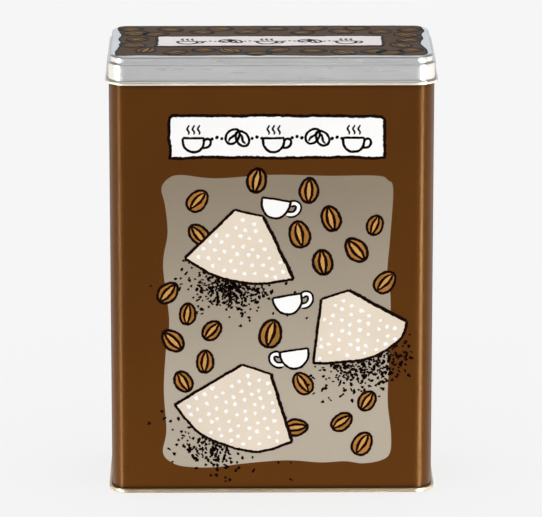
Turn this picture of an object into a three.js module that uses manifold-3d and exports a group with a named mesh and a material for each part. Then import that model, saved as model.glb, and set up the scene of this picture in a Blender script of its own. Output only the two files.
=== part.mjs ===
// Rectangular tin with a slip lid, for paper coffee filters. Three pieces of drawn and folded
// tinplate: a printed wall wrapped round and locked up its left side, a recessed base rolled on
// to its foot, and a stepped lid with a curled edge.
// Millimetres, +Z up, front towards -Y. Origin: the middle of the foot, on the surface it stands on.
import * as THREE from 'three';
import { mergeVertices } from 'three/addons/utils/BufferGeometryUtils.js';
import Module from 'manifold-3d';

const wasm = await Module();
wasm.setup();

// Whole tin
const BODY_WIDTH = 140; // outside of the wall, left to right
const BODY_DEPTH = 65; // outside of the wall, front to back
const TIN_HEIGHT = 195; // foot to the top of the closed lid
const CORNER_RADIUS = 8.5; // outside of the wall, seen from above
const SHEET = 0.25; // tinplate
const CLEARANCE = 0.3; // left between sheets that lie against each other
const LEAST_RADIUS = 3; // corners of anything too far in to follow the wall's own corners
const CORNER_STEPS = 8; // facets in each rounded corner

// Wall
const RIM_ROLL = 1.1; // radius of the safe edge that is rolled inwards at the top
const LOCK_SEAM_WIDTH = 4; // folded seam that closes the wall, flattened on the inside
const LOCK_SEAM_LAYERS = 3; // sheets it adds to the wall

// Base
const PANEL_RISE = 3; // recess under the base panel
const PANEL_STEP = 0.8; // stiffening step, up to the middle of the panel
const PANEL_STEP_INSET = 9; // the step's place, inwards from the wall's outside
const SEAM_HEIGHT = 1.9; // rolled seam at the foot
const SEAM_PROUD = 1.2; // how far that seam stands out from the wall
const SEAM_ROUND = 0.5;

// Lid
const LID_HEIGHT = 12.5; // top of the lid to the underside of its curl
const CROWN_HEIGHT = 3.3; // raised top, above the shoulder that rests on the wall's rim
const CROWN_INSET = 0.55; // how far the crown stands in from the wall's outside
const CROWN_ROUND = 1.1;
const SHOULDER_ROUND = 0.6;
const CURL_WIDTH = 1.3; // the curl that stiffens the lid's edge, rolled outwards
const CURL_HEIGHT = 1.8;

const LEFT = Math.PI;
const TOP = Math.PI / 2;
const BOTTOM = 1.5 * Math.PI;

// Heights and offsets that follow from those. An offset is measured outwards from the wall's outside.
const wallInside = -SHEET;
const lidBottom = TIN_HEIGHT - LID_HEIGHT;
const shoulderTop = TIN_HEIGHT - CROWN_HEIGHT;
const wallTop = shoulderTop - SHEET - CLEARANCE;
const flangeBottom = SHEET + CLEARANCE;
const flangeTop = flangeBottom + SHEET;
const skirtInside = CLEARANCE;
const skirtOutside = skirtInside + SHEET;

// The tin seen from above, grown by an offset, as points that run anticlockwise.
function outlineAt(offset) {
  const radius = Math.max(CORNER_RADIUS + offset, LEAST_RADIUS);
  const x = BODY_WIDTH / 2 + offset - radius;
  const y = BODY_DEPTH / 2 + offset - radius;
  const outline = new THREE.Shape();
  outline.absarc(x, y, radius, 0, TOP);
  outline.absarc(-x, y, radius, TOP, LEFT);
  outline.absarc(-x, -y, radius, LEFT, BOTTOM);
  outline.absarc(x, -y, radius, BOTTOM, 2 * Math.PI);
  outline.closePath();
  return outline.getPoints(CORNER_STEPS / 2).slice(0, -1);
}

// Runs a section, drawn as offset and height, round the tin. The section has metal on its left.
// A closed section makes a ring. An open one starts and ends at flat panels, which fill the middle.
function sweepRound(section, closed) {
  const rings = section.map((point) => outlineAt(point.x).map((p) => [p.x, p.y, point.y]));
  const count = rings[0].length;
  const index = [];
  const strips = closed ? rings.length : rings.length - 1;
  for (let i = 0; i < strips; i++) {
    const here = i * count;
    const next = ((i + 1) % rings.length) * count;
    for (let j = 0; j < count; j++) {
      const k = (j + 1) % count;
      index.push(here + j, here + k, next + j, next + j, here + k, next + k);
    }
  }
  if (!closed) {
    const last = (rings.length - 1) * count;
    const startPanel = THREE.ShapeUtils.triangulateShape(outlineAt(section[0].x), []);
    const endPanel = THREE.ShapeUtils.triangulateShape(outlineAt(section.at(-1).x), []);
    for (const [a, b, c] of startPanel) index.push(a, c, b);
    for (const [a, b, c] of endPanel) index.push(last + a, last + b, last + c);
  }
  const geometry = new THREE.BufferGeometry();
  geometry.setAttribute('position', new THREE.Float32BufferAttribute(rings.flat(2), 3));
  geometry.setIndex(index);
  geometry.computeVertexNormals();
  return geometry;
}

// Wall: a flange at the foot, which the base's seam grips, and a safe edge rolled in at the top.
function wallSection() {
  const rimCentre = wallTop - RIM_ROLL;
  const section = new THREE.Path();
  section.moveTo(0, flangeTop);
  section.lineTo(0, rimCentre);
  section.absarc(-RIM_ROLL, rimCentre, RIM_ROLL, 0, BOTTOM);
  section.absarc(-RIM_ROLL, rimCentre, RIM_ROLL - SHEET, BOTTOM, 0, true);
  section.lineTo(wallInside, flangeBottom);
  section.lineTo(SEAM_PROUD - SHEET - CLEARANCE, flangeBottom);
  section.lineTo(SEAM_PROUD - SHEET - CLEARANCE, flangeTop);
  return section.getPoints(4);
}

// Base: a stepped panel, a wall that stands inside the tin's, and a seam rolled over the flange.
function baseSection() {
  const standOutside = wallInside - CLEARANCE;
  const standInside = standOutside - SHEET;
  const hookEnd = flangeTop + CLEARANCE;
  const section = new THREE.Path();
  section.moveTo(-PANEL_STEP_INSET - PANEL_STEP, PANEL_RISE + PANEL_STEP);
  section.lineTo(-PANEL_STEP_INSET, PANEL_RISE);
  section.lineTo(standInside, PANEL_RISE);
  section.lineTo(standInside, 0);
  section.absarc(SEAM_PROUD - SEAM_ROUND, SEAM_ROUND, SEAM_ROUND, -TOP, 0);
  section.absarc(SEAM_PROUD - SEAM_ROUND, SEAM_HEIGHT - SEAM_ROUND, SEAM_ROUND, 0, TOP);
  section.lineTo(CLEARANCE, SEAM_HEIGHT);
  section.lineTo(CLEARANCE, hookEnd);
  section.lineTo(CLEARANCE + SHEET, hookEnd);
  section.lineTo(CLEARANCE + SHEET, SEAM_HEIGHT - SHEET);
  section.lineTo(SEAM_PROUD - SHEET, SEAM_HEIGHT - SHEET);
  section.lineTo(SEAM_PROUD - SHEET, SHEET);
  section.lineTo(standOutside, SHEET);
  section.lineTo(standOutside, PANEL_RISE + SHEET);
  section.lineTo(-PANEL_STEP_INSET, PANEL_RISE + SHEET);
  section.lineTo(-PANEL_STEP_INSET - PANEL_STEP, PANEL_RISE + PANEL_STEP + SHEET);
  return section.getPoints(2);
}

// Lid: a flat crown, a shoulder that rests on the wall's rim, a skirt, and a curl rolled outwards.
function lidSection() {
  const crownCentre = -CROWN_INSET - CROWN_ROUND;
  const crownBend = TIN_HEIGHT - CROWN_ROUND;
  const shoulderCentre = skirtOutside - SHOULDER_ROUND;
  const shoulderBend = shoulderTop - SHOULDER_ROUND;
  const curlCentre = skirtInside + CURL_WIDTH / 2;
  const curlMiddle = lidBottom + CURL_HEIGHT / 2;
  const curlInner = [CURL_WIDTH / 2 - SHEET, CURL_HEIGHT / 2 - SHEET];
  const section = new THREE.Path();
  section.absarc(crownCentre, crownBend, CROWN_ROUND - SHEET, TOP, 0, true);
  section.lineTo(-CROWN_INSET - SHEET, shoulderTop - SHEET);
  section.absarc(shoulderCentre, shoulderBend, SHOULDER_ROUND - SHEET, TOP, 0, true);
  section.absellipse(curlCentre, curlMiddle, CURL_WIDTH / 2, CURL_HEIGHT / 2, LEFT, 2.5 * Math.PI);
  section.absellipse(curlCentre, curlMiddle, ...curlInner, 2.5 * Math.PI, LEFT, true);
  section.absarc(shoulderCentre, shoulderBend, SHOULDER_ROUND, 0, TOP);
  section.lineTo(-CROWN_INSET, shoulderTop);
  section.absarc(crownCentre, crownBend, CROWN_ROUND, 0, TOP);
  return section.getPoints(3);
}

function toSolid(geometry) {
  const bare = new THREE.BufferGeometry();
  bare.setAttribute('position', geometry.getAttribute('position'));
  if (geometry.index) bare.setIndex(geometry.index);
  const merged = mergeVertices(bare);
  return new wasm.Manifold(
    new wasm.Mesh({
      numProp: 3,
      vertProperties: new Float32Array(merged.getAttribute('position').array),
      triVerts: new Uint32Array(merged.index.array),
    }),
  );
}

function toGeometry(solid) {
  const mesh = solid.getMesh();
  const geometry = new THREE.BufferGeometry();
  geometry.setAttribute('position', new THREE.BufferAttribute(mesh.vertProperties, 3));
  geometry.setIndex(new THREE.BufferAttribute(mesh.triVerts, 1));
  geometry.computeVertexNormals();
  return geometry;
}

// The wall's ends are hooked together up the left side and pressed flat: a ridge on the inside.
function lockSeam() {
  const bottom = PANEL_RISE + PANEL_STEP + SHEET + CLEARANCE;
  const top = wallTop - 2 * RIM_ROLL - CLEARANCE;
  const thickness = (LOCK_SEAM_LAYERS + 0.5) * SHEET;
  const ridge = new THREE.BoxGeometry(thickness, LOCK_SEAM_WIDTH, top - bottom);
  const outside = BODY_WIDTH / 2 - SHEET / 2; // it starts halfway through the wall's sheet
  ridge.translate(thickness / 2 - outside, 0, (top + bottom) / 2);
  ridge.deleteAttribute('normal');
  ridge.deleteAttribute('uv');
  return ridge;
}

function wallGeometry() {
  const ring = toSolid(sweepRound(wallSection(), true));
  return toGeometry(ring.add(toSolid(lockSeam())));
}

function piece(name, geometry, color, roughness, metalness) {
  const mesh = new THREE.Mesh(geometry, new THREE.MeshStandardMaterial({ color, roughness, metalness }));
  mesh.name = name;
  return mesh;
}

const tin = new THREE.Group();
tin.add(piece('body_wall', wallGeometry(), 0x603618, 0.35, 0.2));
tin.add(piece('base_panel', sweepRound(baseSection(), false), 0xb8b0a4, 0.3, 1));
tin.add(piece('slip_lid', sweepRound(lidSection(), false), 0xbcbdbf, 0.32, 1));

export default tin;
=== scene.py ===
import math

import bmesh
import bpy
from mathutils import Matrix, Vector, noise


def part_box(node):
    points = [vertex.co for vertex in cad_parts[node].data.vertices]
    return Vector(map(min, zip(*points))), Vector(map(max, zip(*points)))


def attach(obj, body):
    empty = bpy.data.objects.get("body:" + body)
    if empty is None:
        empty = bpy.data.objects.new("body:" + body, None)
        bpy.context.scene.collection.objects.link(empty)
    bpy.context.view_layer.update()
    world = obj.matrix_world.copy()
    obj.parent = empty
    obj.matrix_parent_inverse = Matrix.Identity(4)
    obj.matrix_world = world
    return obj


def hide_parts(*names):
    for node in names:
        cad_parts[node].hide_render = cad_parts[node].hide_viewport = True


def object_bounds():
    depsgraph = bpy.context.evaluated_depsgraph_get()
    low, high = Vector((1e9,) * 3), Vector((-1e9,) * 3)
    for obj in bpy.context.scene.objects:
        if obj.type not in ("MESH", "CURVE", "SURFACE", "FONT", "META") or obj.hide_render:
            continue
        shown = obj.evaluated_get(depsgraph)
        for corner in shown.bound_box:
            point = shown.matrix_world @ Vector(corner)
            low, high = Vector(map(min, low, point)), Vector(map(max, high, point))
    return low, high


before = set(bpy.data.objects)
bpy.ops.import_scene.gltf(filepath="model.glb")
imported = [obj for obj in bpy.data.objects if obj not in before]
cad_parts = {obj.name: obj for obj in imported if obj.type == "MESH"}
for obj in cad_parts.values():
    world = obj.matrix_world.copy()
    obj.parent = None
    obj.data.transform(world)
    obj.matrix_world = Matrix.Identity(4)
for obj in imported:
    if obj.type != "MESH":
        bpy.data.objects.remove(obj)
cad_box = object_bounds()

# ---------------------------------------------------------------------------------- Camera
# Nearly square on to the printed front, a little to its left, and looking down enough for
# the lid's printed top to show. The lens is long, so upright edges stay nearly parallel.
LENS = 302.2  # millimetres
SENSOR_WIDTH = 36
AZIMUTH, PITCH, DISTANCE = -0.6, 14.75, 2.0  # degrees, degrees, metres
TARGET = Vector((0, 0, 0.0972))

scene = bpy.context.scene
scene.view_settings.view_transform = "Standard"


def direction(azimuth, elevation):
    """From the tin towards a place round it: azimuth 0 is in front, 90 on its right."""
    a, e = math.radians(azimuth), math.radians(elevation)
    return Vector((math.sin(a) * math.cos(e), -math.cos(a) * math.cos(e), math.sin(e)))


def link(name, data):
    made = bpy.data.objects.new(name, data)
    scene.collection.objects.link(made)
    return made


camera = link("camera", bpy.data.cameras.new("camera"))
camera.data.lens = LENS
camera.data.sensor_width = SENSOR_WIDTH
camera.data.clip_start, camera.data.clip_end = 0.05, 60
camera.location = TARGET + direction(AZIMUTH, PITCH) * DISTANCE
camera.rotation_euler = direction(AZIMUTH, PITCH).to_track_quat("Z", "Y").to_euler()
scene.camera = camera

# ---------------------------------------------------------------------------------- Stage
# A pale floor that runs into a pale room with even light from all sides. White cards
# stand round the tin, out of view, for its metal and its varnish to reflect.
PALE = (0.922, 0.922, 0.922, 1)
FLOOR_SIZE = 60
FLOOR_GLOW = 0.85  # share of the floor's brightness that no shadow takes away
FLOOR_LIGHT = 1.0  # how much more light it throws back at the tin than it shows


def put(tree, kind, wires=None, **settings):
    """Adds a node. Its inputs, by name or number, are joined to a socket or given a value."""
    node = tree.nodes.new(kind)
    for key, value in settings.items():
        setattr(node, key, value)
    for name, value in (wires or {}).items():
        if isinstance(name, int):
            socket = node.inputs[name]
        else:
            socket = next(s for s in node.inputs if s.name == name and s.enabled)
        if isinstance(value, bpy.types.NodeSocket):
            tree.links.new(value, socket)
        else:
            socket.default_value = value
    return node


def first(node):
    """The output that a node shows first."""
    return next(s for s in node.outputs if s.enabled)


def sheet_mesh(name, width, length):
    mesh = bpy.data.meshes.new(name)
    x, y = width / 2, length / 2
    mesh.from_pydata([(-x, -y, 0), (x, -y, 0), (x, y, 0), (-x, y, 0)], [], [(0, 1, 2, 3)])
    return mesh


def blank_material(name):
    """A new material with no nodes yet, and its tree."""
    made = bpy.data.materials.new(name)
    made.use_nodes = True
    made.node_tree.nodes.clear()
    return made, made.node_tree


def floor_material():
    made, tree = blank_material("pale_floor")
    rays = put(tree, "ShaderNodeLightPath")
    strength = put(tree, "ShaderNodeMath", {0: rays.outputs["Is Diffuse Ray"], 1: FLOOR_LIGHT, 2: 1.0},
                   operation="MULTIPLY_ADD")
    paint = put(tree, "ShaderNodeBsdfDiffuse", {"Color": PALE})
    glow = put(tree, "ShaderNodeEmission", {"Color": PALE, "Strength": strength.outputs[0]})
    both = put(tree, "ShaderNodeMixShader", {0: FLOOR_GLOW, 1: paint.outputs[0], 2: glow.outputs[0]})
    put(tree, "ShaderNodeOutputMaterial", {"Surface": both.outputs[0]})
    return made


floor = link("floor", sheet_mesh("floor", FLOOR_SIZE, FLOOR_SIZE))
floor.data.materials.append(floor_material())
floor.visible_glossy = False

ROOM_LIGHT = (1.0, 1.0, 1.0, 1)
ROOM_IN_METAL = (0.19, 0.185, 0.18, 1)  # the room as the shiny surfaces see it, dimmer

room = bpy.data.worlds.new("room")
room.use_nodes = True
scene.world = room
air = room.node_tree
air.nodes.clear()
ray = put(air, "ShaderNodeLightPath").outputs
light = put(air, "ShaderNodeBackground", {"Color": ROOM_LIGHT})
seen = put(air, "ShaderNodeBackground", {"Color": PALE})
mirrored = put(air, "ShaderNodeBackground", {"Color": ROOM_IN_METAL})
lit = put(air, "ShaderNodeMixShader", {0: ray["Is Camera Ray"], 1: first(light), 2: first(seen)})
shown = put(air, "ShaderNodeMixShader", {0: ray["Is Glossy Ray"], 1: first(lit), 2: first(mirrored)})
put(air, "ShaderNodeOutputWorld", {"Surface": first(shown)})

NEUTRAL, WARM, COOL = (1, 1, 1, 1), (1, 0.95, 0.86, 1), (0.88, 0.95, 1, 1)

CARDS = {  # azimuth, elevation, distance, width, height (degrees and metres), brightness, colour
    "front_card": (0, -14, 1.0, 2.0, 0.9, 0.6, NEUTRAL),
    "back_card": (180, -14, 1.0, 1.8, 0.9, 0.6, NEUTRAL),
    "high_card": (180, 24, 1.2, 1.8, 0.55, 1.05, COOL),
    "low_card": (0, -62, 1.0, 1.3, 0.7, 1.1, WARM),
    "top_card": (0, 88, 1.1, 1.3, 0.9, 1.25, NEUTRAL),
    "left_strip": (-60, -24, 0.9, 0.12, 0.75, 20, NEUTRAL),
    "right_strip": (48, -24, 0.9, 0.13, 0.75, 36, NEUTRAL),
    "left_card": (-103, -22, 1.0, 1.3, 0.9, 1.5, WARM),
    "right_card": (102, -22, 1.0, 1.3, 0.9, 1.65, WARM),
}

for name, (azimuth, elevation, distance, width, height, brightness, colour) in CARDS.items():
    card = link(name, sheet_mesh(name, width, height))
    away = direction(azimuth, elevation)
    card.location = Vector((0, 0, cad_box[1].z / 2)) + away * distance
    card.rotation_euler = away.to_track_quat("Z", "Y").to_euler()
    glowing, tree = blank_material(name)
    glow = put(tree, "ShaderNodeEmission", {"Color": colour, "Strength": brightness})
    put(tree, "ShaderNodeOutputMaterial", {"Surface": first(glow)})
    glowing.cycles.emission_sampling = "NONE"
    card.data.materials.append(glowing)
    card.visible_camera = card.visible_diffuse = card.visible_shadow = False

# ---------------------------------------------------------------------------------- Wall
# One printed sheet of tinplate, wrapped round four rounded corners. Its top edge is rolled
# inwards as a safe edge and its foot is turned outwards into a flange for the base.
# Millimetres from here on, and each mesh is brought to metres as it is made.
MM = 0.001
SHEET = 0.25
SEAM_PROUD = 1.2  # the base's rolled seam, out from the wall
SEAM_HEIGHT = 1.9
CLEARANCE = 0.3  # between sheets that lie against each other
CORNER_RADIUS = 8.5
LEAST_RADIUS = 3
CORNER_STEPS = 24
CORNER_EASE = 0.8  # a last flat facet on each side of a corner keeps the flats truly flat
BEND_EASE = 1  # and so does a last flat ring before a bend
RIM_ROLL = 1.1
RIM_STEPS = 18
SHARP = math.radians(40)

base_low, base_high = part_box("base_panel")
lid_low, lid_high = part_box("slip_lid")
WIDTH = (base_high.x - base_low.x) / MM - 2 * SEAM_PROUD
DEPTH = (base_high.y - base_low.y) / MM - 2 * SEAM_PROUD
HEIGHT = lid_high.z / MM
LID_BOTTOM = lid_low.z / MM
WALL_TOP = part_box("body_wall")[1].z / MM
FLANGE_BOTTOM = SHEET + CLEARANCE
FLANGE_TOP = FLANGE_BOTTOM + SHEET


def outline_at(offset):
    """The tin from above, grown by an offset from the wall's outside: points, anticlockwise."""
    radius = max(CORNER_RADIUS + offset, LEAST_RADIUS)
    x, y = WIDTH / 2 + offset - radius, DEPTH / 2 + offset - radius
    points = []
    for quarter, (side, end) in enumerate([(1, 1), (-1, 1), (-1, -1), (1, -1)]):
        start = quarter * math.pi / 2
        for i in range(-1, CORNER_STEPS + 2):
            angle = start + min(max(i, 0), CORNER_STEPS) / CORNER_STEPS * math.pi / 2
            slide = CORNER_EASE * ((i == -1) - (i == CORNER_STEPS + 1))
            along = (math.sin(angle) * slide, -math.cos(angle) * slide)
            points.append((side * x + radius * math.cos(angle) + along[0],
                           end * y + radius * math.sin(angle) + along[1]))
    return points


def arc(offset, height, across, up, start, end, steps):
    """Part of an ellipse in a section, from one angle to another in degrees."""
    angles = [math.radians(start + (end - start) * i / steps) for i in range(steps + 1)]
    return [(offset + across * math.cos(a), height + up * math.sin(a)) for a in angles]


def finish_mesh(name, points, faces, materials, skins=None):
    """A mesh in metres with soft shading, broken at sharp edges. skins: a material for each face."""
    mesh = bpy.data.meshes.new(name)
    mesh.from_pydata([Vector(p) * MM for p in points], [], faces)
    for made in materials:
        mesh.materials.append(made)
    shape = bmesh.new()
    shape.from_mesh(mesh)
    for face, skin in zip(shape.faces, skins or [0] * len(faces)):
        face.smooth = True
        face.material_index = skin
    for edge in shape.edges:
        edge.smooth = len(edge.link_faces) == 2 and edge.calc_face_angle(0) < SHARP
    shape.to_mesh(mesh)
    shape.free()
    return link(name, mesh)


def sweep_round(name, section, closed, materials, skin_of):
    """Runs a section, as (offset, height) with metal on its left, round the tin.
    An open section starts and ends at flat panels. skin_of gives each stretch's material."""
    rings = [[(x, y, height) for x, y in outline_at(offset)] for offset, height in section]
    count = len(rings[0])
    faces, skins = [], []
    for i in range(len(rings) if closed else len(rings) - 1):
        here, there = i * count, (i + 1) % len(rings) * count
        for j in range(count):
            k = (j + 1) % count
            faces.append((here + j, here + k, there + k, there + j))
            skins.append(skin_of(i))
    if not closed:
        last = (len(rings) - 1) * count
        faces.append(tuple(reversed(range(count))))
        faces.append(tuple(range(last, last + count)))
        skins += [skin_of(0), skin_of(len(rings) - 1)]
    return finish_mesh(name, [p for ring in rings for p in ring], faces, materials, skins)


COLOUR, NUMBER = "NodeSocketColor", "NodeSocketFloat"


def surface_group(name, inputs):
    """A group of shader nodes that is to give a colour, a roughness and a height: its tree,
    its named inputs, and the place on the piece."""
    tree = bpy.data.node_groups.new(name, "ShaderNodeTree")
    for label, kind, value in inputs:
        socket = tree.interface.new_socket(label, in_out="INPUT", socket_type=kind)
        socket.default_value = value
    for label, kind in [("Color", COLOUR), ("Roughness", NUMBER), ("Height", NUMBER)]:
        tree.interface.new_socket(label, in_out="OUTPUT", socket_type=kind)
    place = put(tree, "ShaderNodeTexCoord").outputs["Object"]
    return tree, put(tree, "NodeGroupInput").outputs, place


def maths(tree, operation, *terms):
    return first(put(tree, "ShaderNodeMath", dict(enumerate(terms)), operation=operation))


def clouds(tree, place, scale, detail):
    """Soft noise all over, from 0 to 1."""
    return first(put(tree, "ShaderNodeTexNoise", {"Vector": place, "Scale": scale, "Detail": detail}))


def ramp(tree, value, start, end, low=0.0, high=1.0):
    """Low before the start, high after the end, and even between them."""
    return first(put(tree, "ShaderNodeMapRange", {0: value, 1: start, 2: end, 3: low, 4: high}))


def mixed(tree, share, tone, second_tone):
    wires = {"Factor": share, "A": tone, "B": second_tone}
    return first(put(tree, "ShaderNodeMix", wires, data_type="RGBA"))


def scaled(tree, tone, amount):
    return first(put(tree, "ShaderNodeVectorMath", {0: tone, "Scale": amount}, operation="SCALE"))


def make_ink_film():
    """Printing ink on tinplate under varnish: two tones in soft patches, a fine printed
    grain, a sheen that varies a little, and the varnish's orange peel."""
    tree, given, place = surface_group(
        "ink_film",
        [("Ink", COLOUR, (0.5, 0.5, 0.5, 1)), ("Second Ink", COLOUR, (0.5, 0.5, 0.5, 1)),
         ("Patches", NUMBER, 60), ("Grain", NUMBER, 0.1), ("Sheen", NUMBER, 0.3)])
    share = ramp(tree, clouds(tree, place, given["Patches"], 2.0), 0.38, 0.62)
    tone = mixed(tree, share, given["Ink"], given["Second Ink"])
    grain = maths(tree, "SUBTRACT", clouds(tree, place, 1900.0, 1.0), 0.5)
    strength = maths(tree, "MULTIPLY_ADD", grain, given["Grain"], 1.0)
    smears = maths(tree, "MULTIPLY_ADD", clouds(tree, place, 45.0, 4.0), 0.12, -0.06)
    put(tree, "NodeGroupOutput",
        {"Color": scaled(tree, tone, strength),
         "Roughness": maths(tree, "ADD", given["Sheen"], smears),
         "Height": clouds(tree, place, 520.0, 1.0)})
    return tree


def make_tin_surface():
    """Rolled tinplate: a fine grain along the sheet, faint blotches, and a few scuffs."""
    tree, given, place = surface_group(
        "tin_surface",
        [("Bright", COLOUR, (0.7, 0.7, 0.7, 1)), ("Dull", COLOUR, (0.5, 0.5, 0.5, 1)),
         ("Sheen", NUMBER, 0.35), ("Grain Up", NUMBER, 900), ("Grain Along", NUMBER, 30)])
    stretch = put(tree, "ShaderNodeCombineXYZ",
                  {"X": given["Grain Along"], "Y": given["Grain Along"], "Z": given["Grain Up"]})
    drawn = put(tree, "ShaderNodeVectorMath", {0: place, 1: first(stretch)}, operation="MULTIPLY")
    grain = clouds(tree, first(drawn), 1.0, 3.0)
    blotched = maths(tree, "ADD", grain, clouds(tree, place, 38.0, 3.0))
    scuffs = maths(tree, "MULTIPLY_ADD", grain, 0.16, -0.08)
    put(tree, "NodeGroupOutput",
        {"Color": mixed(tree, ramp(tree, blotched, 0.75, 1.25), given["Dull"], given["Bright"]),
         "Roughness": maths(tree, "ADD", given["Sheen"], scuffs),
         "Height": grain})
    return tree


ink_film = make_ink_film()
tin_surface = make_tin_surface()
PEEL_DEPTH = 0.000012  # metres
GRAIN_DEPTH = 0.000004


def shaded(name, surface, values, depth, metallic, specular):
    """A material with one of those surfaces, its own values, and bumps of that depth: the
    material, its nodes, its shader and its surface."""
    made, tree = blank_material(name)
    skin = put(tree, "ShaderNodeGroup", values, node_tree=surface)
    bump = put(tree, "ShaderNodeBump",
               {"Height": skin.outputs["Height"], "Distance": depth, "Strength": 1.0})
    shader = put(tree, "ShaderNodeBsdfPrincipled",
                 {"Base Color": skin.outputs["Color"], "Roughness": skin.outputs["Roughness"],
                  "Normal": first(bump), "Metallic": metallic, "Specular IOR Level": specular})
    put(tree, "ShaderNodeOutputMaterial", {"Surface": first(shader)})
    return made, tree, shader, skin


def varnished(name, patches=60.0, grain=0.12, sheen=0.3, specular=0.12):
    """A printed ink under varnish, with its two tones still to come."""
    values = {"Patches": patches, "Grain": grain, "Sheen": sheen}
    return shaded(name, ink_film, values, PEEL_DEPTH, 0.0, specular)


def ink(name, tone, second_tone, **finish):
    made, _, _, film = varnished(name, **finish)
    film.inputs["Ink"].default_value = (*tone, 1)
    film.inputs["Second Ink"].default_value = (*second_tone, 1)
    return made


def tinplate(name, bright, dull, sheen, metallic=1.0):
    values = {"Bright": (*bright, 1), "Dull": (*dull, 1), "Sheen": sheen}
    return shaded(name, tin_surface, values, GRAIN_DEPTH, metallic, 0.5)[0]


def height_up(tree):
    """How high a place on the piece is, in metres."""
    place = put(tree, "ShaderNodeTexCoord").outputs["Object"]
    return put(tree, "ShaderNodeSeparateXYZ", {0: place}).outputs["Z"]


def wall_section():
    rim = WALL_TOP - RIM_ROLL
    thin = RIM_ROLL - SHEET
    flange = SEAM_PROUD - SHEET - CLEARANCE
    outside = [(0, FLANGE_TOP), (0, rim - BEND_EASE)]
    roll = arc(-RIM_ROLL, rim, RIM_ROLL, RIM_ROLL, 0, 270, RIM_STEPS)
    inner = arc(-RIM_ROLL, rim, thin, thin, 270, 0, RIM_STEPS)
    foot = [(-SHEET, FLANGE_BOTTOM), (flange, FLANGE_BOTTOM), (flange, FLANGE_TOP)]
    return outside + roll + inner + foot


WALL_TONES = ((0.0770, 0.0225, 0.0020), (0.0705, 0.0200, 0.0017))
VARNISH = (1.0, 0.62, 0.25, 1)  # yellow-brown tint of what the varnish over it reflects
PAINTED_LIGHT_BELOW = 0.6 * HEIGHT  # painted light, as if from the floor: the brown gets lighter from here down to the foot
FOOT_PAINTED_LIGHT = 1.22
PAINTED_SHADE_LINES = (LID_BOTTOM - 0.6, SEAM_HEIGHT + 0.3)  # heights of the painted shade under the lid's curl and over the base's seam, which stays when the lid is lifted
PAINTED_SHADE_FACTOR = 0.5  # how dark the painted shade makes the brown
PAINTED_SHADE_FADES = 1.4  # how far from there the painted shade fades back to plain brown


def make_wall_ink():
    """Chestnut brown, with painted light that makes it a little lighter towards the foot, and two lines of
    painted shade under the lid's curl and over the base's seam.
    """
    made, tree, shader, film = varnished("wall_ink", patches=14.0, specular=0.3)
    shader.inputs["Specular Tint"].default_value = VARNISH
    up = height_up(tree)
    # Painted light: the brown gets lighter towards the foot, as if lit from the floor.
    share = ramp(tree, up, PAINTED_LIGHT_BELOW * MM, 0.0, 1.0, FOOT_PAINTED_LIGHT)
    # Painted shade: the brown gets darker along a line under the lid's curl and one over the base's seam.
    for height in PAINTED_SHADE_LINES:
        away = maths(tree, "ABSOLUTE", maths(tree, "SUBTRACT", up, height * MM))
        share = maths(tree, "MULTIPLY", share, ramp(tree, away, 0.0, PAINTED_SHADE_FADES * MM, PAINTED_SHADE_FACTOR, 1.0))
    for socket, tone in zip(("Ink", "Second Ink"), WALL_TONES):
        tree.links.new(scaled(tree, tone, share), film.inputs[socket])
    return made


wall_ink = make_wall_ink()
inside_tin = tinplate("inside_tin", (0.74, 0.73, 0.70), (0.64, 0.63, 0.60), 0.36, metallic=0.4)
PRINTED_STRETCHES = 2 + RIM_STEPS // 2  # up the outside and halfway over the rolled edge

wall = sweep_round("printed_wall", wall_section(), True, [wall_ink, inside_tin],
                   lambda i: 0 if i < PRINTED_STRETCHES else 1)
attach(wall, "tin")
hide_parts("body_wall")

# ---------------------------------------------------------------------------------- Lock seam
# The wall's two ends are hooked into each other up the left side and pressed flat. Inside, the
# folds make a ridge. Outside, one end stands a hair proud, with a fine line on each side of it.
LOCK_WIDTH = 4
LOCK_SHEETS = 3
LOCK_PROUD = 0.12
LOCK_ROUND = 0.35
LOCK_GAP = 0.5  # left above the base
LIP_FOOT, LIP_TOP = 0.1, 0.3  # the lip's slope, in from each side of the seam


def bar_up(name, outline, low, high, made):
    """A bar with an outline seen from above, as (x, y) anticlockwise, from one height to another."""
    count = len(outline)
    points = [(x, y, z) for z in (low, high) for x, y in outline]
    faces = [(i, (i + 1) % count, count + (i + 1) % count, count + i) for i in range(count)]
    faces += [tuple(reversed(range(count))), tuple(range(count, 2 * count))]
    return finish_mesh(name, points, faces, [made])


def lock_outline():
    """Rounded folds inside the wall and a low flat lip outside it, seen from above."""
    wall_x, half = -WIDTH / 2, LOCK_WIDTH / 2
    inner = wall_x + SHEET + LOCK_SHEETS * SHEET
    low_corner = arc(inner - LOCK_ROUND, -half + LOCK_ROUND, LOCK_ROUND, LOCK_ROUND, -90, 0, 5)
    high_corner = arc(inner - LOCK_ROUND, half - LOCK_ROUND, LOCK_ROUND, LOCK_ROUND, 0, 90, 5)
    lip = wall_x - LOCK_PROUD
    return low_corner + high_corner + [
        (wall_x + SHEET / 2, half), (wall_x, half - LIP_FOOT), (lip, half - LIP_TOP),
        (lip, -half + LIP_TOP), (wall_x, -half + LIP_FOOT), (wall_x + SHEET / 2, -half)]


lock_seam = bar_up("lock_seam", lock_outline(), base_high.z / MM + LOCK_GAP,
                   WALL_TOP - 2 * RIM_ROLL - CLEARANCE, wall_ink)
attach(lock_seam, "tin")

# ---------------------------------------------------------------------------------- Base
# A second sheet, pressed into a recessed panel with a stiffening step, and rolled over the
# wall's flange all round. The roll is the bright line that the tin stands on.
PANEL_RISE = 3
PANEL_STEP = 0.8
PANEL_STEP_INSET = 9
SEAM_ROUND = 0.5
FOOT_BEVEL = 0.2


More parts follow.
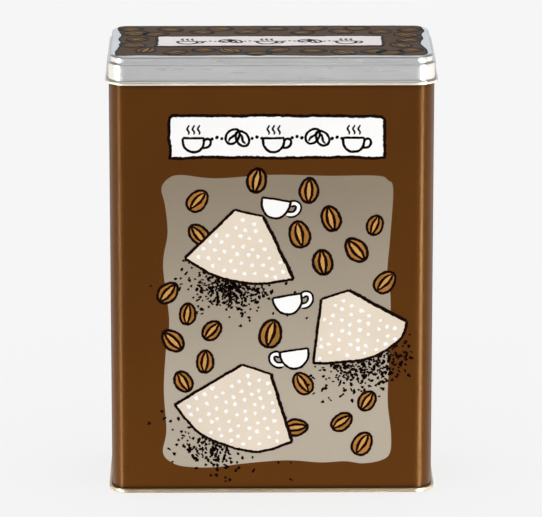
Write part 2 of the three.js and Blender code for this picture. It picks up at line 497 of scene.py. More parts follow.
def base_section():
    stand_out = -SHEET - CLEARANCE
    stand_in = stand_out - SHEET
    step = -PANEL_STEP_INSET
    hook = FLANGE_TOP + CLEARANCE
    centre = SEAM_PROUD - SEAM_ROUND
    panel = [(step - 2 * PANEL_STEP, PANEL_RISE + PANEL_STEP), (step - PANEL_STEP, PANEL_RISE + PANEL_STEP),
             (step, PANEL_RISE), (step + BEND_EASE, PANEL_RISE), (stand_in - BEND_EASE, PANEL_RISE)]
    foot = [(stand_in, PANEL_RISE), (stand_in, FOOT_BEVEL), (stand_in + FOOT_BEVEL, 0)]
    roll = arc(centre, SEAM_ROUND, SEAM_ROUND, SEAM_ROUND, -90, 0, 8)
    roll += arc(centre, SEAM_HEIGHT - SEAM_ROUND, SEAM_ROUND, SEAM_ROUND, 0, 90, 8)
    tuck = [(CLEARANCE, SEAM_HEIGHT), (CLEARANCE, hook), (CLEARANCE + SHEET, hook),
            (CLEARANCE + SHEET, SEAM_HEIGHT - SHEET), (SEAM_PROUD - SHEET, SEAM_HEIGHT - SHEET),
            (SEAM_PROUD - SHEET, SHEET), (stand_out, SHEET), (stand_out, PANEL_RISE + SHEET)]
    top_side = [(offset, height + SHEET) for offset, height in reversed(panel)]
    return panel + foot + roll + tuck + top_side


# Bare tinplate whose warm brown tint is a painted reflection of the brown wall and the pale floor.
base_tin = tinplate("base_tin", (0.58, 0.465, 0.325), (0.50, 0.39, 0.26), 0.34)
base = sweep_round("rolled_base", base_section(), False, [base_tin], lambda i: 0)
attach(base, "tin")
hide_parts("base_panel")

# ---------------------------------------------------------------------------------- Lid
# One drawn sheet: a flat crown with a rounded edge, a shoulder that rests on the wall's rim,
# a straight skirt outside the wall, and a raw edge curled outwards into a round bead.
CROWN_HEIGHT = 3.3
CROWN_INSET = 0.55
CROWN_ROUND = 1.1
SHOULDER_ROUND = 0.6
SKIRT_OUTSIDE = CLEARANCE + SHEET
CURL_WIDTH = 1.3
CURL_HEIGHT = 1.8
CURL_STEPS = 20
CROWN_EASE = 0.4  # a ring just inside the rounded edge, to keep the crown flat
CROWN_FILLET = 0.12


def lid_section():
    """The lid's section in three parts: the underside, the curl, and the outside."""
    shoulder_top = HEIGHT - CROWN_HEIGHT
    crown = (-CROWN_INSET - CROWN_ROUND, HEIGHT - CROWN_ROUND)
    shoulder = (SKIRT_OUTSIDE - SHOULDER_ROUND, shoulder_top - SHOULDER_ROUND)
    curl = (CLEARANCE + CURL_WIDTH / 2, LID_BOTTOM + CURL_HEIGHT / 2)
    outer = (CURL_WIDTH / 2, CURL_HEIGHT / 2)
    inner = (outer[0] - SHEET, outer[1] - SHEET)
    thin = CROWN_ROUND - SHEET
    under = [(crown[0] - CROWN_EASE, HEIGHT - SHEET)] + arc(*crown, thin, thin, 90, 0, 8)
    under += [(-CROWN_INSET - SHEET, shoulder_top - SHEET)]
    under += arc(*shoulder, SHOULDER_ROUND - SHEET, SHOULDER_ROUND - SHEET, 90, 0, 6)
    bead = arc(*curl, *outer, 180, 450, CURL_STEPS) + arc(*curl, *inner, 450, 180, CURL_STEPS)
    bead_top = LID_BOTTOM + CURL_HEIGHT
    over = [(SKIRT_OUTSIDE, bead_top), (SKIRT_OUTSIDE, shoulder[1] - SHOULDER_ROUND)]
    over += arc(*shoulder, SHOULDER_ROUND, SHOULDER_ROUND, 0, 90, 6)
    over += [(-CROWN_INSET + CROWN_FILLET, shoulder_top), (-CROWN_INSET, shoulder_top + CROWN_FILLET)]
    over += arc(*crown, CROWN_ROUND, CROWN_ROUND, 0, 90, 10)
    return under, bead, over + [(crown[0] - CROWN_EASE, HEIGHT)]


lid_tin = tinplate("lid_tin", (0.695, 0.695, 0.70), (0.645, 0.645, 0.65), 0.3, metallic=0.85)
# The curl is the lid's own sheet: its warmer, brighter tin is a painted warm reflection.
curl_tin = tinplate("curl_tin", (0.95, 0.895, 0.80), (0.88, 0.825, 0.73), 0.32, metallic=0.85)
under, bead, over = lid_section()
curl_ends = len(under) + 2 * CURL_STEPS
lid = sweep_round("stepped_lid", under + bead + over, False, [lid_tin, curl_tin, inside_tin],
                  lambda i: 2 if i < len(under) else 1 if i < curl_ends else 0)
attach(lid, "lid")
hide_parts("slip_lid")

# ---------------------------------------------------------------------------------- Panel
# The pictures are litho inks, printed flat on the sheet before it was folded: first a
# grey-brown panel with a wavy edge. Front and back carry the same print.
# A print is drawn as (u, v) seen from its face, in thin closed films that lie on each other.
FILM = 0.03
ROOT = 0.05  # how far a film goes into the sheet under it

FACES = {
    "front": Matrix(((1, 0, 0, 0), (0, 0, -1, -DEPTH / 2), (0, 1, 0, 0), (0, 0, 0, 1))),
    "back": Matrix(((-1, 0, 0, 0), (0, 0, 1, DEPTH / 2), (0, 1, 0, 0), (0, 0, 0, 1))),
    "lid": Matrix(((1, 0, 0, 0), (0, 1, 0, 0), (0, 0, 1, HEIGHT), (0, 0, 0, 1))),
}
BODY_OF_FACE = {"front": "tin", "back": "tin", "lid": "lid"}
WALL_FACES = ("front", "back")
STROKE_STEP = 0.4
SWELLS, DRIFTS = 1.15, 0.25  # how quickly a pen stroke's width and its place change
THINNEST = 0.08  # half a stroke, at the least


def smooth(points, closed, per_span=8):
    """A smooth line through given points."""
    count = len(points)
    line = []
    for i in range(count if closed else count - 1):
        a, b, c, d = (points[(i + k) % count] if closed else points[min(max(i + k, 0), count - 1)]
                      for k in (-1, 0, 1, 2))
        for step in range(per_span):
            t = step / per_span
            line.append(tuple(
                0.5 * (2 * q + (r - p) * t + (2 * p - 5 * q + 4 * r - s) * t * t
                       + (3 * q - p - 3 * r + s) * t ** 3)
                for p, q, r, s in zip(a, b, c, d)))
    return line if closed else line + [points[-1]]


def even(points, closed, step):
    """The same line with its points a step apart."""
    loop = points + points[:1] if closed else points
    lengths = [math.dist(a, b) for a, b in zip(loop, loop[1:])]
    total = sum(lengths)
    count = max(round(total / step), 4)
    line, i, passed = [], 0, 0.0
    for n in range(count + (not closed)):
        goal = min(total * n / count, total * (1 - 1e-9))
        while passed + lengths[i] < goal:
            passed += lengths[i]
            i += 1
        t = (goal - passed) / lengths[i]
        line.append(tuple(a + (b - a) * t for a, b in zip(loop[i], loop[i + 1])))
    return line


def wander(at, seed):
    """A smooth unevenness from -1 to 1, the same each time."""
    return noise.noise(Vector((at, seed * 7.31, 0.5)))


class Drawing:
    """Closed films of ink in the plane of a face, as the points and faces of one mesh."""

    def __init__(self):
        self.points = []
        self.faces = []

    def add(self, points, faces):
        start = len(self.points)
        self.points += points
        self.faces += [tuple(start + i for i in face) for face in faces]

    def film(self, outline, top):
        """A film with that outline, anticlockwise, up to a height."""
        count = len(outline)
        sides = [(i, (i + 1) % count, count + (i + 1) % count, count + i) for i in range(count)]
        self.add([(u, v, -ROOT) for u, v in outline] + [(u, v, top) for u, v in outline],
                 [tuple(reversed(range(count))), tuple(range(count, 2 * count)), *sides])

    def stroke(self, line, width, top, closed=False, seed=1, rough=0.12, taper=0.0):
        """A pen stroke along a line: uneven in width, and round or tapered at its ends."""
        path = even(line, closed, STROKE_STEP)
        count = len(path)
        points = []
        for i, (u, v) in enumerate(path):
            a = path[(i - 1) % count] if closed or i else path[0]
            b = path[(i + 1) % count] if closed or i < count - 1 else path[-1]
            size = math.dist(a, b) or 1
            across = ((b[1] - a[1]) / size, -(b[0] - a[0]) / size)
            from_end = (min(i, count - 1 - i) + 0.35) * STROKE_STEP
            near_end = 1.0 if closed else min(1.0, from_end / (width * 0.5))
            swell = 1 - taper * (1 - math.sin(math.pi * i / (count - 1)))
            half = width / 2 * swell * math.sqrt(1 - (1 - near_end) ** 2)
            left = half + rough * 0.5 * wander(i * STROKE_STEP * SWELLS, seed)
            right = half + rough * 0.5 * wander(i * STROKE_STEP * SWELLS, seed + 40)
            drift = 0 if closed and i == 0 else rough * 0.6 * wander(i * STROKE_STEP * DRIFTS, seed + 80)
            left, right = max(left - drift, THINNEST), max(right + drift, THINNEST)
            for height in (-ROOT, top):
                points.append((u + across[0] * right, v + across[1] * right, height))
                points.append((u - across[0] * left, v - across[1] * left, height))
        faces = []
        for i in range(count if closed else count - 1):
            a, b = 4 * i, 4 * ((i + 1) % count)
            faces.append((a + 2, b + 2, b + 3, a + 3))
            faces.append((a + 1, b + 1, b, a))
            faces.append((a, b, b + 2, a + 2))
            faces.append((b + 1, a + 1, a + 3, b + 3))
        if not closed:
            last = 4 * (count - 1)
            faces.append((0, 2, 3, 1))
            faces.append((last + 1, last + 3, last + 2, last))
        self.add(points, faces)


def lay(name, face, drawing, made):
    """Lays a drawing on one of the tin's faces as a finished piece."""
    points = [FACES[face] @ Vector(p) for p in drawing.points]
    piece = finish_mesh(f"{face}_{name}", points, drawing.faces, [made])
    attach(piece, BODY_OF_FACE[face])


PANEL_EDGE = [
    (-47.5, 137), (-44.5, 141.5), (-39, 143), (-24, 141.5), (0, 143), (24, 142.5), (45, 142.5),
    (50, 140.5), (52.3, 136), (51, 113.5), (50, 99), (51.5, 87), (51, 59.5), (50.5, 41.5), (52, 27.5),
    (51.7, 18), (48, 14.5), (40, 13), (32, 14), (21.5, 13.5), (6, 14.5), (-13, 13), (-24, 11.5),
    (-34.5, 11.5), (-42.5, 13), (-47.5, 18), (-46, 28.5), (-47, 46.5), (-46, 64.5), (-44.5, 78.5),
    (-47, 102.5), (-45, 117), (-46, 129.5)]
PANEL_HIGH, PANEL_LOW = (0.236, 0.191, 0.135), (0.405, 0.346, 0.275)
PANEL_DARK_ABOVE, PANEL_LIGHT_BELOW = 138, 41


def make_panel_ink():
    """Warm grey, lighter from the top of the panel down to its lower third."""
    made, tree, _, film = varnished("panel_ink", patches=25.0)
    share = ramp(tree, height_up(tree), PANEL_DARK_ABOVE * MM, PANEL_LIGHT_BELOW * MM)
    for socket, strength in (("Ink", 1.0), ("Second Ink", 0.96)):
        high, low = ((*(c * strength for c in tone), 1) for tone in (PANEL_HIGH, PANEL_LOW))
        tree.links.new(mixed(tree, share, high, low), film.inputs[socket])
    return made


panel_ink = make_panel_ink()
for face in WALL_FACES:
    panel = Drawing()
    panel.film(list(reversed(smooth(PANEL_EDGE, True))), FILM)
    lay("panel", face, panel, panel_ink)

# ---------------------------------------------------------------------------------- Grounds
# Spilt coffee grounds, drawn as many small specks of black ink: thick under each paper's
# curved edge and thinning out below it, some of them over the brown.
black_ink = ink("black_ink", (0.0065, 0.0016, 0.0006), (0.009, 0.0025, 0.001), grain=0.3, specular=0.03)

# Where each filter paper lies: its left and right top corners, its right and left lower
# corners, and points on the curved edge between those. Grounds are spilt along that edge.
# spill: where they lie thickest, as a share of it from the right. spread: how far they go to
# each side of that. amount: specks on a square millimetre there.
PAPERS = [
    {"top": [(-16, 127.5), (-3.5, 124.5)], "low": [(9.5, 96.5), (-37.5, 106)],
     "edge": [(-6, 94.5), (-23, 97.5)], "spill": 0.54, "spread": 0.22, "amount": 1.19},
    {"top": [(21.5, 87.5), (33.5, 91.5)], "low": [(58.5, 77.5), (18, 58.5)],
     "edge": [(55.5, 69), (41, 60.5)], "spill": 0.55, "spread": 0.27, "amount": 0.952},
    {"top": [(-13, 58), (-0.5, 54)], "low": [(9, 23), (-42.5, 40)],
     "edge": [(-8, 18.5), (-30, 26)], "spill": 0.60, "spread": 0.17, "amount": 0.7},
]
SPECK_KINDS = 5
SPECK_SIZE = 0.74
SMALLEST_SPECK, LARGEST_SPECK = 0.6, 1.15  # times that
LOWEST_SPECK = 4.5
SPILL_REACH = 21  # from the paper's edge to the furthest specks
SPILL_ROWS = 14
TUCKED_IN = 1  # the first specks are under the paper
THICKEST_AT, THINS_OVER = 3.5, 7.5  # out from the edge
STRAYS = 0.012  # a few specks lie anywhere


def paper_edge(paper):
    """The curved lower edge, from the right corner to the left."""
    right, left = paper["low"]
    return even(smooth([right, *paper["edge"], left], False, 12), False, 1.5)


def drawings(name, count, draw):
    """A few versions of a small drawing, to be repeated. draw(drawing, version) draws one."""
    made = bpy.data.collections.new(name)
    for version in range(count):
        drawing = Drawing()
        draw(drawing, version)
        mesh = bpy.data.meshes.new(f"{name}_{version}")
        mesh.from_pydata(drawing.points, [], drawing.faces)
        made.objects.link(bpy.data.objects.new(mesh.name, mesh))
    return made


def blob(radius, corners, unevenness, seed):
    """A small uneven round spot."""
    outline = []
    for i in range(corners):
        a = 2 * math.pi * i / corners
        size = radius * (1 + unevenness * wander(math.cos(a) * 0.9 + 2 * math.sin(a), seed + i * 0.03))
        outline.append((size * math.cos(a), size * math.sin(a)))
    return outline


def draw_speck(drawing, version):
    long = 0.75 + 0.12 * version
    outline = [(u * long, v / long) for u, v in blob(SPECK_SIZE, 7, 0.9, version + 11)]
    drawing.film(outline, 2 * FILM)


def geometry_tree(name, inputs):
    """A tree of geometry nodes that is to give a print: the tree and its named inputs."""
    tree = bpy.data.node_groups.new(name, "GeometryNodeTree")
    shared = [("Drawings", "NodeSocketCollection"), ("Ink", "NodeSocketMaterial")]
    for label, kind in inputs + shared:
        tree.interface.new_socket(label, in_out="INPUT", socket_type=kind)
    tree.interface.new_socket("Print", in_out="OUTPUT", socket_type="NodeSocketGeometry")
    return tree, put(tree, "NodeGroupInput").outputs


def carried(tree, name, kind="FLOAT"):
    """A number that the carrier mesh has on its points."""
    return first(put(tree, "GeometryNodeInputNamedAttribute", {"Name": name}, data_type=kind))


def any_of(tree, low, high, seed, kind="FLOAT"):
    """A random number for each point."""
    wires = {"Min": low, "Max": high, "Seed": seed}
    return first(put(tree, "FunctionNodeRandomValue", wires, data_type=kind))


def place_drawings(tree, given, spots, which, turn, size):
    """Ends a tree: one drawing at each spot, turned, sized, made real and inked."""
    spin = put(tree, "ShaderNodeCombineXYZ", {"Z": turn})
    flat = put(tree, "ShaderNodeCombineXYZ", {"X": size, "Y": size, "Z": 1.0})
    drawn = put(tree, "GeometryNodeCollectionInfo",
                {"Collection": given["Drawings"], "Separate Children": True, "Reset Children": True})
    copies = put(tree, "GeometryNodeInstanceOnPoints",
                 {"Points": spots, "Instance": first(drawn), "Pick Instance": True,
                  "Instance Index": which, "Rotation": first(spin), "Scale": first(flat)})
    real = put(tree, "GeometryNodeRealizeInstances", {"Geometry": first(copies)})
    inked = put(tree, "GeometryNodeSetMaterial", {"Geometry": first(real), "Material": given["Ink"]})
    put(tree, "NodeGroupOutput", {"Print": first(inked)})


def make_scatter_tree():
    """Scatters drawings over a sheet, as thickly as its attribute "thick" says."""
    tree, given = geometry_tree("scatter_drawings", [
        ("Sheet", "NodeSocketGeometry"), ("Thickest", "NodeSocketFloat"),
        ("Smallest", "NodeSocketFloat"), ("Largest", "NodeSocketFloat"), ("Seed", "NodeSocketInt")])
    seed = given["Seed"]
    density = maths(tree, "MULTIPLY", carried(tree, "thick"), given["Thickest"])
    spots = put(tree, "GeometryNodeDistributePointsOnFaces",
                {"Mesh": given["Sheet"], "Density": density, "Seed": seed})
    which = any_of(tree, 0, SPECK_KINDS - 1, seed, "INT")
    turn = any_of(tree, 0.0, 2 * math.pi, seed)
    size = any_of(tree, given["Smallest"], given["Largest"], seed)
    place_drawings(tree, given, spots.outputs["Points"], which, turn, size)
    return tree


def run_tree(tree, holder, values):
    """What a tree makes of a carrier mesh, as plain points and faces."""
    modifier = holder.modifiers.new("print", "NODES")
    modifier.node_group = tree
    for item in tree.interface.items_tree:
        if item.item_type == "SOCKET" and item.name in values:
            modifier[item.identifier] = values[item.name]
    graph = bpy.context.evaluated_depsgraph_get()
    made = bpy.data.meshes.new_from_object(holder.evaluated_get(graph))
    points = [tuple(v.co) for v in made.vertices]
    faces = [tuple(p.vertices) for p in made.polygons]
    bpy.data.meshes.remove(made)
    bpy.data.objects.remove(holder)
    return points, faces


def carrier(name, points, faces, **numbers):
    """A mesh that carries numbers on its points, for a tree to read."""
    mesh = bpy.data.meshes.new(name)
    mesh.from_pydata(points, [], faces)
    for label, values in numbers.items():
        kind = "INT" if isinstance(values[0], int) else "FLOAT"
        mesh.attributes.new(label, kind, "POINT").data.foreach_set("value", values)
    return link(name, mesh)


def grounds_sheet(paper):
    """A band along a paper's curved edge, which carries how thickly the specks lie."""
    edge = paper_edge(paper)
    middle = [sum(p[k] for p in paper["top"]) / 2 for k in (0, 1)]
    rows = SPILL_ROWS
    side = WIDTH / 2 - CORNER_RADIUS - SPECK_SIZE
    points, thick = [], []
    for i, (u, v) in enumerate(edge):
        along = i / (len(edge) - 1)
        away = math.dist((u, v), middle)
        out = ((u - middle[0]) / away, (v - middle[1]) / away)
        bell = math.exp(-((along - paper["spill"]) / paper["spread"]) ** 2)
        for row in range(rows):
            reach = SPILL_REACH * row / (rows - 1) - TUCKED_IN
            on_the_flat = min(max(u + out[0] * reach, -side), side)
            points.append((on_the_flat, max(v + out[1] * reach, LOWEST_SPECK), 0))
            thick.append(bell * math.exp(-((reach - THICKEST_AT) / THINS_OVER) ** 2) + STRAYS)
    faces = [(i * rows + j, i * rows + j + 1, (i + 1) * rows + j + 1, (i + 1) * rows + j)
             for i in range(len(edge) - 1) for j in range(rows - 1)]
    return carrier("grounds_sheet", points, faces, thick=thick)


scatter_tree = make_scatter_tree()
specks = drawings("specks", SPECK_KINDS, draw_speck)
for face in WALL_FACES:
    grounds = Drawing()
    for n, paper in enumerate(PAPERS):
        grounds.add(*run_tree(scatter_tree, grounds_sheet(paper), {
            "Drawings": specks, "Ink": black_ink, "Thickest": paper["amount"],
            "Smallest": SMALLEST_SPECK, "Largest": LARGEST_SPECK, "Seed": n + 3}))
    lay("grounds", face, grounds, black_ink)

# ---------------------------------------------------------------------------------- Beans
# Roasted coffee beans: an egg-shaped spot of ochre and orange ink, a gold lens down its
# middle, and brushed black lines round both. The same few drawings are repeated and turned.
BEAN_KINDS = 4
BEAN_POINTS = 44
LENS_STEPS = 14
BEANS = [  # u, v, lean to the right in degrees, size
    (-6.5, 140.5, 8, 1.09), (-32, 131.5, 42, 0.96), (16, 136, 4, 1.03), (25.5, 123.5, -16, 1.06),
    (44.5, 120.5, 18, 0.91), (12, 116.5, -12, 1.07), (36.5, 109.5, -38, 1.09), (-31.5, 116.5, -42, 0.98),
    (22, 104, -10, 1.12), (49, 95, 42, 0.98), (-45, 90.5, 42, 0.99), (-36.5, 81, 5, 0.91),
    (-26, 73.5, 38, 0.97), (-0.5, 72, 14, 1.14), (-43, 69, -42, 1.03), (-29, 59.5, 3, 0.96),
    (-38.5, 50.5, -32, 0.99), (13.5, 49.5, -32, 0.95), (10.5, 29.5, 85, 0.96), (30.5, 32, 52, 0.95),
    (41.5, 41.5, 30, 0.95), (39.5, 22, 30, 0.99)]


def bean_outline(version, grow=0.0):
    """An egg shape, about 8 mm by 10.5 mm, a little different in each version."""
    half_width = 3.75 + 0.22 * ((version * 5) % 3) + grow
    half_height = 5.0 + 0.2 * ((version * 3) % 4) + grow
    outline = []
    for i in range(BEAN_POINTS):
        a = 2 * math.pi * i / BEAN_POINTS
        narrow = 1 - 0.07 * math.sin(a)
        uneven = 1 + 0.035 * wander(math.cos(a) * 1.6 + math.sin(a), version + 21)
        outline.append((half_width * narrow * uneven * math.cos(a), half_height * uneven * math.sin(a)))
    return outline


def lens_side(version, side):
    """One side of the slit: a line from the top of the bean to its foot, bowed outwards."""
    bow = 1.15 + 0.25 * ((version + (side > 0)) % 2)
    lean = 0.35 * wander(version * 1.7, 5)
    top, foot = 4.75, -4.8
    line = []
    for i in range(LENS_STEPS + 1):
        t = i / LENS_STEPS
        line.append((lean * (1 - 2 * t) + side * (bow * math.sin(math.pi * t) ** 0.85 + 0.12),
                     top + (foot - top) * t))
    return line


def draw_bean_spot(drawing, version):
    drawing.film(bean_outline(version), 2 * FILM)


def draw_bean_lens(drawing, version):
    drawing.film(lens_side(version, -1) + lens_side(version, 1)[::-1], 3 * FILM)


def draw_bean_lines(drawing, version):
    edge = bean_outline(version, -0.1)
    drawing.stroke(edge, 1.15, 4 * FILM, closed=True, seed=version + 2, rough=0.42)
    for side in (-1, 1):
        slit = lens_side(version, side)
        drawing.stroke(slit, 1.22, 4 * FILM, seed=version + 9 + side, rough=0.4, taper=0.4)


def make_repeat_tree():
    """Puts one of the drawings at each point, with the point's own kind, turn and size."""
    tree, given = geometry_tree("repeat_drawings", [("Places", "NodeSocketGeometry")])
    place_drawings(tree, given, given["Places"], carried(tree, "kind", "INT"), carried(tree, "turn"),
                   carried(tree, "size"))
    return tree


repeat_tree = make_repeat_tree()
bean_spots = drawings("bean_spots", BEAN_KINDS, draw_bean_spot)
bean_lenses = drawings("bean_lenses", BEAN_KINDS, draw_bean_lens)
bean_lines = drawings("bean_lines", BEAN_KINDS, draw_bean_lines)

bean_ink = ink("bean_ink", (0.275, 0.122, 0.019), (0.42, 0.163, 0.032), patches=170.0)
lens_ink = ink("lens_ink", (0.50, 0.245, 0.060), (0.55, 0.29, 0.072), patches=300.0)


def repeat(name, face, places, pictures, made, kinds):
    """Repeats drawings on a face. places: u, v, lean to the right in degrees, size."""
    spots = carrier(
        "places", [(u, v, 0) for u, v, _, _ in places], [],
        kind=[n % kinds for n in range(len(places))],
        turn=[-math.radians(lean) for _, _, lean, _ in places],
        size=[float(size) for _, _, _, size in places])
    repeated = Drawing()
    repeated.add(*run_tree(repeat_tree, spots, {"Drawings": pictures, "Ink": made}))
    lay(name, face, repeated, made)


for face in WALL_FACES:
    repeat("beans", face, BEANS, bean_spots, bean_ink, BEAN_KINDS)
    repeat("bean_lenses", face, BEANS, bean_lenses, lens_ink, BEAN_KINDS)
    repeat("bean_lines", face, BEANS, bean_lines, black_ink, BEAN_KINDS)

# ---------------------------------------------------------------------------------- Papers
# Cone filter papers laid flat: cream ink with white dots in staggered rows, and a black
# line brushed round them. They lie over the beans and the grounds.
DOT_SPACING = 4.7
ROW_SPACING = 0.8 * DOT_SPACING
DOT_RADIUS = 0.85
DOT_SHIFT = 1.3  # how far out of line a dot may be
DOT_KINDS = 4
DOT_MARGIN = 1.9
DOT_ROWS, DOT_COLUMNS = range(-2, 16), range(-9, 10)  # more than a paper can hold

cream_ink = ink("cream_ink", (0.69, 0.598, 0.482), (0.655, 0.565, 0.452), patches=40.0)
white_ink = ink("white_ink", (0.825, 0.82, 0.815), (0.80, 0.795, 0.785), patches=30.0)


def paper_outline(paper):
    """Right round a paper, anticlockwise from its top right corner."""
    left_top, right_top = paper["top"]
    return [right_top, left_top] + paper_edge(paper)[::-1]


def inside(point, outline, margin):
    """Whether a point is in an outline and further than a margin from its edge."""
    within = False
    for a, b in zip(outline, outline[1:] + outline[:1]):
        span, off = Vector(b) - Vector(a), Vector(point) - Vector(a)
        t = min(max(off.dot(span) / span.length_squared, 0), 1)
        if (off - span * t).length < margin:
            return False
        if (a[1] > point[1]) != (b[1] > point[1]):
            if point[0] < (b[0] - a[0]) * (point[1] - a[1]) / (b[1] - a[1]) + a[0]:
                within = not within
    return within


def paper_dots(paper, seed):
    """Dots in staggered rows across a paper, set by hand and so a little out of line."""
    outline = paper_outline(paper)
    top = (Vector(paper["top"][0]) + Vector(paper["top"][1])) / 2
    low = (Vector(paper["low"][0]) + Vector(paper["low"][1])) / 2
    down = (low - top).normalized()
    across = Vector((-down.y, down.x))
    dots = []
    for row in DOT_ROWS:
        for column in DOT_COLUMNS:
            shift = 0.5 * (row % 2)
            at = top + down * (row * ROW_SPACING) + across * ((column + shift) * DOT_SPACING)
            uneven = Vector((wander(row * 3.3 + column, seed), wander(column * 2.9 + row, seed + 5)))
            at += uneven * DOT_SHIFT
            if inside(tuple(at), outline, DOT_MARGIN):
                size = 1 + 0.25 * wander(row + column * 1.7, seed + 9)
                dots.append((at.x, at.y, 37.0 * (row + 3 * column), size))
    return dots


def draw_dot(drawing, version):
    drawing.film(blob(DOT_RADIUS, 12, 0.6, version + 31), 6 * FILM)


dots = drawings("dots", DOT_KINDS, draw_dot)
for face in WALL_FACES:
    papers, lines, places = Drawing(), Drawing(), []
    for n, paper in enumerate(PAPERS):
        papers.film(paper_outline(paper), 5 * FILM)
        places += paper_dots(paper, n + 1)
        (left_top, right_top), (right_low, left_low) = paper["top"], paper["low"]
        for line, width, seed, rough in [
                ([left_top, right_top], 1.0, 50, 0.3), ([left_low, left_top], 1.25, 60, 0.4),
                ([right_top, right_low], 1.5, 70, 0.55), (paper_edge(paper), 1.2, 80, 0.45)]:
            lines.stroke(line, width, 6 * FILM, seed=n + seed, rough=rough)
    lay("papers", face, papers, cream_ink)
    repeat("dots", face, places, dots, white_ink, DOT_KINDS)
    lay("paper_lines", face, lines, black_ink)

# ---------------------------------------------------------------------------------- Cups
# Small white cups with one handle each, seen from the side and drawn in the same black
# line, tipped a little one way or the other.
CUPS = [(2, 132, -9, 1), (6.5, 89, 10, 1), (9.5, 64.5, 9, -1)]  # u, v, tilt, handle's side
BOWL = [(-6.2, 0), (-6, -2.9), (-4.9, -5.6), (-2.7, -7.7), (0, -8.3),
        (2.7, -7.7), (4.9, -5.6), (6, -2.9), (6.2, 0)]
HANDLE = [(5.8, -1.6), (7.8, -0.5), (9.7, -1.2), (9.8, -3.5), (8.1, -5.4), (5.2, -5.8)]


def turned(line, place):
    """A line of a small drawing, moved and tilted. place: u, v, tilt to the left in degrees."""
    u, v, tilt = place
    cosine, sine = math.cos(math.radians(tilt)), math.sin(math.radians(tilt))
    return [(u + x * cosine - y * sine, v + x * sine + y * cosine) for x, y in line]


for face in WALL_FACES:
    whites, lines = Drawing(), Drawing()
    for n, (*cup, side) in enumerate(CUPS):
        bowl = turned(smooth(BOWL, False, 5), cup)
        handle = turned(smooth([(side * u, v) for u, v in HANDLE], False, 6), cup)
        brim = turned([BOWL[0], (0, 0.15), BOWL[-1]], cup)
        lines.stroke(handle, 3.2, 3 * FILM, seed=n + 90, rough=0.3)
        whites.stroke(handle, 1.3, 4 * FILM, seed=n + 95)
        whites.film(bowl, 5 * FILM)
        lines.stroke(bowl, 1.05, 6 * FILM, seed=n + 100, rough=0.35)
        lines.stroke(brim, 0.95, 6 * FILM, seed=n + 110, rough=0.3)
    lay("cups", face, whites, white_ink)
    lay("cup_lines", face, lines, black_ink)

# ---------------------------------------------------------------------------------- Labels
# A white label above the panel, and one across the lid, each with a rough black edge and a
# row of small line drawings: cups that steam, beans and dots.
LABEL = (-44, 48.5, 150.5, 169)  # left, right, foot, top
LID_LABEL = (-49.5, 48.5, -11.5, 9)
ROW_STEP = 8.6  # from one small drawing to the next
SMALL_CUP, SMALL_BEAN = 0.62, 0.56  # how large they are next to those on the panel


def box_line(box, amount, seed):
    """Round a box with corners drawn by hand, anticlockwise from the lower left."""
    left, right, low, high = box
    corners = [(left, low), (right, low), (right, high), (left, high)]
    line = even(corners, True, 2.5)
    return [(u + amount * wander(u * 0.11 + v * 0.3, seed), v + amount * wander(u * 0.08 + v, seed + 3))
            for u, v in line]


def small_cup(drawing, u, v, top, size, pen, seed):
    """A cup in one line, with three wisps of steam."""
    cup = (u - 1.2 * size, v - 0.4, 0)
    small = SMALL_CUP * size
    bowl = [(x * small, y * small) for x, y in smooth(BOWL, False, 5)]
    handle = [(x * small, y * small) for x, y in smooth(HANDLE, False, 5)]
    drawing.stroke(turned(bowl, cup), 1.05 * pen, top, seed=seed, rough=0.3)
    drawing.stroke(turned([bowl[0], bowl[-1]], cup), 0.95 * pen, top, seed=seed + 1, rough=0.3)
    drawing.stroke(turned(handle, cup), pen, top, seed=seed + 2, rough=0.3)
    for side in (-1, 0, 1):
        steam = [(side * 1.9 * size + 0.45 * math.sin(t * 1.6), (1.3 + 0.7 * t) * size) for t in range(6)]
        wisp = turned(smooth(steam, False, 3), cup)
        drawing.stroke(wisp, 0.8 * pen, top, seed=seed + 4 + side, taper=0.3)


def small_bean(drawing, u, v, top, lean, size, pen, seed):
    """A bean in one line, with the slit down its middle."""
    place = (u, v, -lean)
    small = SMALL_BEAN * size
    egg = [(x * small, y * small) for x, y in bean_outline(seed % BEAN_KINDS)]
    slit = [(0.35 * size * math.sin(t * 1.05), (2.6 - 0.87 * t) * 0.9 * size) for t in range(7)]
    middle = turned(smooth(slit, False, 3), place)
    drawing.stroke(turned(egg, place), pen, top, closed=True, seed=seed, rough=0.3)
    drawing.stroke(middle, 1.05 * pen, top, seed=seed + 1, rough=0.3, taper=0.4)


def draw_row(drawing, box, top, size, pen):
    """The row of small drawings in a label."""
    middle_u, middle_v = (box[0] + box[1]) / 2, (box[2] + box[3]) / 2
    for n in range(-4, 5):
        u = middle_u + n * ROW_STEP
        v = middle_v + 0.5 * wander(n * 1.9, 3)
        if n % 4 == 0:
            small_cup(drawing, u, v, top, size, pen, 120 + n * 9)
        elif n % 2 == 0:
            small_bean(drawing, u - 1.9, v + 0.4, top, 38, size, pen, 160 + n)
            small_bean(drawing, u + 2.3, v - 0.6, top, -32, size * 0.92, pen, 171 + n)
        else:
            for k in (-1, 0, 1):
                spot = [(u + k * 2.1 + x, v - 0.6 * abs(k) + y) for x, y in blob(0.78, 10, 0.3, n + k + 70)]
                drawing.film(spot, top)


def label(face, box, ground_ink, line_ink, low, size, pen, border):
    """A label that lies on what is printed up to low. size: of its small drawings. pen: the
    width of their lines. border: the width of the line round it."""
    ground, lines = Drawing(), Drawing()
    edge = box_line(box, 0.55, 4)
    ground.film(edge, low + FILM)
    lay("label", face, ground, ground_ink)
    lines.stroke(edge, border, low + 2 * FILM, closed=True, seed=6, rough=0.55)
    draw_row(lines, box, low + 2 * FILM, size, pen)
    lay("label_lines", face, lines, line_ink)


for face in WALL_FACES:
    label(face, LABEL, white_ink, black_ink, 0, 1.2, 1.1, 1.35)
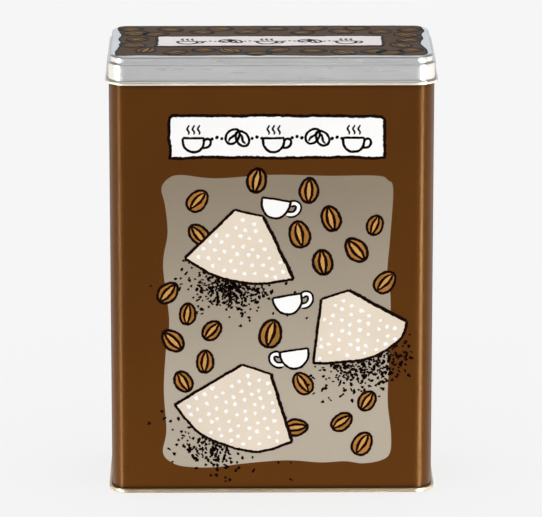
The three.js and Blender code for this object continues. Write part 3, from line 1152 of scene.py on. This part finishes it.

# ---------------------------------------------------------------------------------- Lid print
# The crown carries inks like the wall's: a dark brown ground with a wavy edge that leaves a margin
# of bare tin, beans all over it in darker copies of the wall's bean inks as painted shade, and the label on
# top of them.
LID_EDGE = [
    (-65.1, -29.6), (-55, -29.2), (-40, -30.2), (-25, -29.6), (-8, -28.9), (8, -29.9), (22, -30.4),
    (36, -29.8), (50, -30.2), (60, -30.6), (65.3, -29.4), (66.7, -24), (65.9, -16), (64.5, -9),
    (64.7, -2), (66, 5), (65.4, 12), (67, 19), (66.5, 25), (65, 29.8), (58, 30.7), (30, 30.9),
    (0, 30.9), (-30, 30.9), (-58, 30.8), (-65, 30.2), (-66.7, 26), (-65.7, 18), (-64.7, 11),
    (-66, 4), (-64.8, -4), (-65.3, -12), (-66.3, -19), (-66.7, -25)]
LID_BEANS = [  # u, v, lean to the right in degrees
    (-61, 24.5, 80), (-59, 16, 60), (-44, 24, -70), (-50, 14, 75), (-58, 3, 50), (-60, -9, -60),
    (-54, -19, 20), (-41, -23, 50), (-30, 18, -75), (-22, 25, 85), (-10, 19, 60), (2, 25, -80),
    (-29, -19, 80), (-18, -20, -35), (-6, -26, 85), (3, -19, 45), (14, 17, 70), (19, 25.5, 80),
    (31, 19, -60), (38, 25.5, 85), (48, 18, 55), (31, -24, -45), (18, -21, 80), (44, -22, 65),
    (61, 22, 80), (59, 12, -50), (60, 1, 60), (56, -10, -35), (60, -20, 70), (51, -25.5, 85)]
LID_BEAN_SIZE = 1.06


def lid_ink(name, tone, second_tone, **finish):
    """The crown's inks have next to no gloss, and so stay dark under the light from above. Its bean and
    lens inks are also darker copies of the wall's, as painted shade.
    """
    return ink(name, tone, second_tone, specular=0.01, **finish)


lid_ground_ink = lid_ink("lid_ground_ink", (0.073, 0.033, 0.008), (0.066, 0.030, 0.007), patches=16.0)
# Painted shade: these bean and lens inks are the wall's at about half the brightness.
lid_bean_ink = lid_ink("lid_bean_ink", (0.155, 0.078, 0.012), (0.21, 0.100, 0.016), patches=170.0)
lid_lens_ink = lid_ink("lid_lens_ink", (0.26, 0.125, 0.03), (0.30, 0.15, 0.035), patches=300.0)
lid_white_ink = lid_ink("lid_white_ink", (0.80, 0.745, 0.735), (0.77, 0.72, 0.71), patches=30.0)
lid_black_ink = lid_ink("lid_black_ink", (0.010, 0.006, 0.004), (0.015, 0.009, 0.006), grain=0.2)

lid_edge = smooth(LID_EDGE, True)
ground, edge_line = Drawing(), Drawing()
ground.film(lid_edge, FILM)
lay("ground", "lid", ground, lid_ground_ink)
edge_line.stroke(lid_edge, 0.8, 2 * FILM, closed=True, seed=7, rough=0.3)
lay("edge_line", "lid", edge_line, lid_black_ink)
lid_places = [(*bean, LID_BEAN_SIZE) for bean in LID_BEANS]
repeat("beans", "lid", lid_places, bean_spots, lid_bean_ink, BEAN_KINDS)
repeat("bean_lenses", "lid", lid_places, bean_lenses, lid_lens_ink, BEAN_KINDS)
repeat("bean_lines", "lid", lid_places, bean_lines, lid_black_ink, BEAN_KINDS)
label("lid", LID_LABEL, lid_white_ink, lid_black_ink, 4 * FILM, 1.12, 1.2, 1.3)
